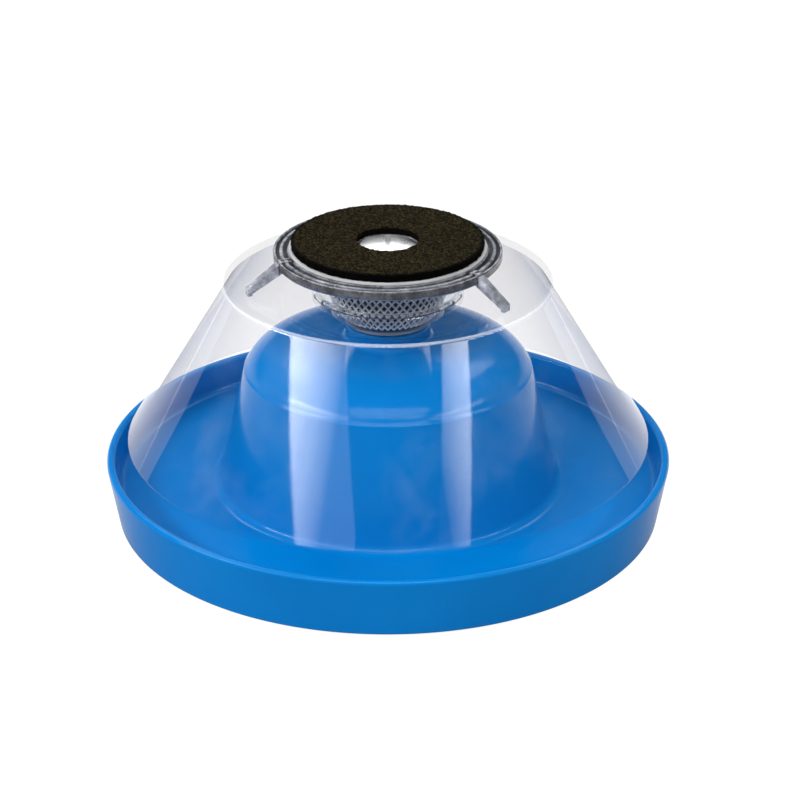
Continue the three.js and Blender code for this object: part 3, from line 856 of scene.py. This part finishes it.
# metres, degrees, brightnesses, and the lens in millimetres
studio = {
    "distance": 0.4674, "elevation": 25.09, "aimX": 0.0021, "aimZ": 0.02037, "lens": 118.96,
    "roomSeen": 1, "roomLight": 0.15, "roomMirrored": 0.08,
    "floorSeen": 0.95, "floorLight": 0.15, "frontMirrored": 0.1, "backMirrored": 1.1,
    "mirroredFrom": -0.03, "mirroredTo": 0.05, "floorTones": (0.08, 0.35, 0.1), "floorReach": 4,
}


def makeCamera():
    s = studio
    lift = math.radians(s["elevation"])
    eye = Vector((0, -s["distance"] * math.cos(lift), s["aimZ"] + s["distance"] * math.sin(lift)))
    made = bpy.data.objects.new("camera", bpy.data.cameras.new("camera"))
    made.data.lens = s["lens"]
    made.data.sensor_width = 36
    made.data.clip_start = 0.01
    made.location = eye
    made.rotation_euler = (Vector((s["aimX"], 0, s["aimZ"])) - eye).to_track_quat("-Z", "Y").to_euler()
    bpy.context.collection.objects.link(made)
    bpy.context.scene.camera = made


def makeFloor():
    # pale all round, and in mirror images darker in front than behind
    s = studio
    reach = s["floorReach"]
    corners = [(-reach, -reach, 0), (reach, -reach, 0), (reach, reach, 0), (-reach, reach, 0)]
    mesh = bpy.data.meshes.new("floor")
    mesh.from_pydata(corners, [], [(0, 1, 2, 3)])
    floor = bpy.data.objects.new("floor", mesh)
    bpy.context.collection.objects.link(floor)
    look = Finish("paleFloor").setUp(Roughness=0.9, Emission_Color=(1, 1, 1, 1))
    mirrored = look.spread(
        look.along("Y"), s["frontMirrored"], s["backMirrored"], s["mirroredFrom"], s["mirroredTo"]
    )
    glow = dimmed(look.nodes, look.links, s["floorSeen"], s["floorLight"], mirrored)
    look.join(glow, look.shader.inputs["Emission Strength"])
    look.join(dimmed(look.nodes, look.links, *s["floorTones"]), look.shader.inputs["Base Color"])
    mesh.materials.append(look.material)


def softBox(name, azimuth, elevation, distance, width, height, radiance, roll=0, fade=None):
    # azimuth 0 is in front of the object and positive goes to the right, in degrees;
    # fade is (from, to) along the light's width and the two strengths there
    a, e = math.radians(azimuth), math.radians(elevation)
    way = Vector((math.sin(a) * math.cos(e), -math.cos(a) * math.cos(e), math.sin(e)))
    light = bpy.data.lights.new(name, "AREA")
    light.shape = "RECTANGLE"
    light.size, light.size_y = width, height
    light.energy = radiance * math.pi * width * height
    if fade:
        light.use_nodes = True
        nodes, links = light.node_tree.nodes, light.node_tree.links
        parts = nodes.new("ShaderNodeSeparateXYZ")
        level = nodes.new("ShaderNodeMapRange")
        for field, value in zip(("From Min", "From Max", "To Min", "To Max"), fade):
            level.inputs[field].default_value = value
        links.new(nodes.new("ShaderNodeNewGeometry").outputs["Parametric"], parts.inputs["Vector"])
        links.new(parts.outputs["X"], level.inputs["Value"])
        links.new(level.outputs["Result"], nodes["Emission"].inputs["Strength"])
    made = bpy.data.objects.new(name, light)
    made.location = Vector((0, 0, 0.03)) + way * distance
    facing = way.to_track_quat("Z", "Y").to_matrix() @ Matrix.Rotation(math.radians(roll), 3, "Z")
    made.rotation_euler = facing.to_euler()
    made.visible_camera = False
    bpy.context.collection.objects.link(made)
    return made


def dimmed(nodes, links, seen, lit, mirrored):
    # one brightness to the camera, one as light on the object, one in its mirror images
    path = nodes.new("ShaderNodeLightPath")
    levels = []
    for kind, level in (("Is Diffuse Ray", lit), ("Is Glossy Ray", mirrored)):
        share = nodes.new("ShaderNodeMapRange")
        share.inputs["To Min"].default_value = seen
        if isinstance(level, (int, float)):
            share.inputs["To Max"].default_value = level
        else:
            links.new(level, share.inputs["To Max"])
        links.new(path.outputs[kind], share.inputs["Value"])
        levels.append(share.outputs["Result"])
    both = nodes.new("ShaderNodeMath")
    both.operation = "ADD"
    links.new(levels[0], both.inputs[0])
    links.new(levels[1], both.inputs[1])
    once = nodes.new("ShaderNodeMath")  # both levels hold the seen brightness, so it comes off once
    once.operation = "SUBTRACT"
    once.inputs[1].default_value = seen
    links.new(both.outputs["Value"], once.inputs[0])
    return once.outputs["Value"]


def makeRoom():
    world = bpy.data.worlds.new("room")
    world.use_nodes = True
    nodes, links = world.node_tree.nodes, world.node_tree.links
    sky = nodes["Background"]
    sky.inputs["Color"].default_value = (1, 1, 1, 1)
    glow = dimmed(nodes, links, studio["roomSeen"], studio["roomLight"], studio["roomMirrored"])
    links.new(glow, sky.inputs["Strength"])
    bpy.context.scene.world = world


makeCamera()
makeFloor()
makeRoom()
softBox("leftBank", azimuth=-54, elevation=33.6, distance=0.845, width=1.1, height=0.148, radiance=9.6,
        roll=-0.3, fade=(0.35, 0.8, 2.3, 0.15))
softBox("rightBank", azimuth=49, elevation=33.3, distance=0.832, width=1.1, height=0.079, radiance=11,
        roll=6, fade=(0.24, 0.6, 0.02, 1.45))
softBox("frontTop", azimuth=0, elevation=53, distance=1.0, width=0.9, height=0.5, radiance=5.6)
backFill = softBox("backFill", azimuth=180, elevation=26, distance=1.0, width=1.3, height=0.45, radiance=3.4)
backFill.visible_glossy = False
backdrop = softBox("backdrop", azimuth=180, elevation=5, distance=1.2, width=4.2, height=0.28, radiance=1.05)
backTop = softBox("backTop", azimuth=180, elevation=48, distance=1.0, width=0.9, height=0.4, radiance=4)
for strip in (backdrop, backTop):  # these two are only mirrored
    strip.visible_diffuse = False
    strip.visible_transmission = False
bpy.context.scene.view_settings.view_transform = "Standard"
print("camera and light made")
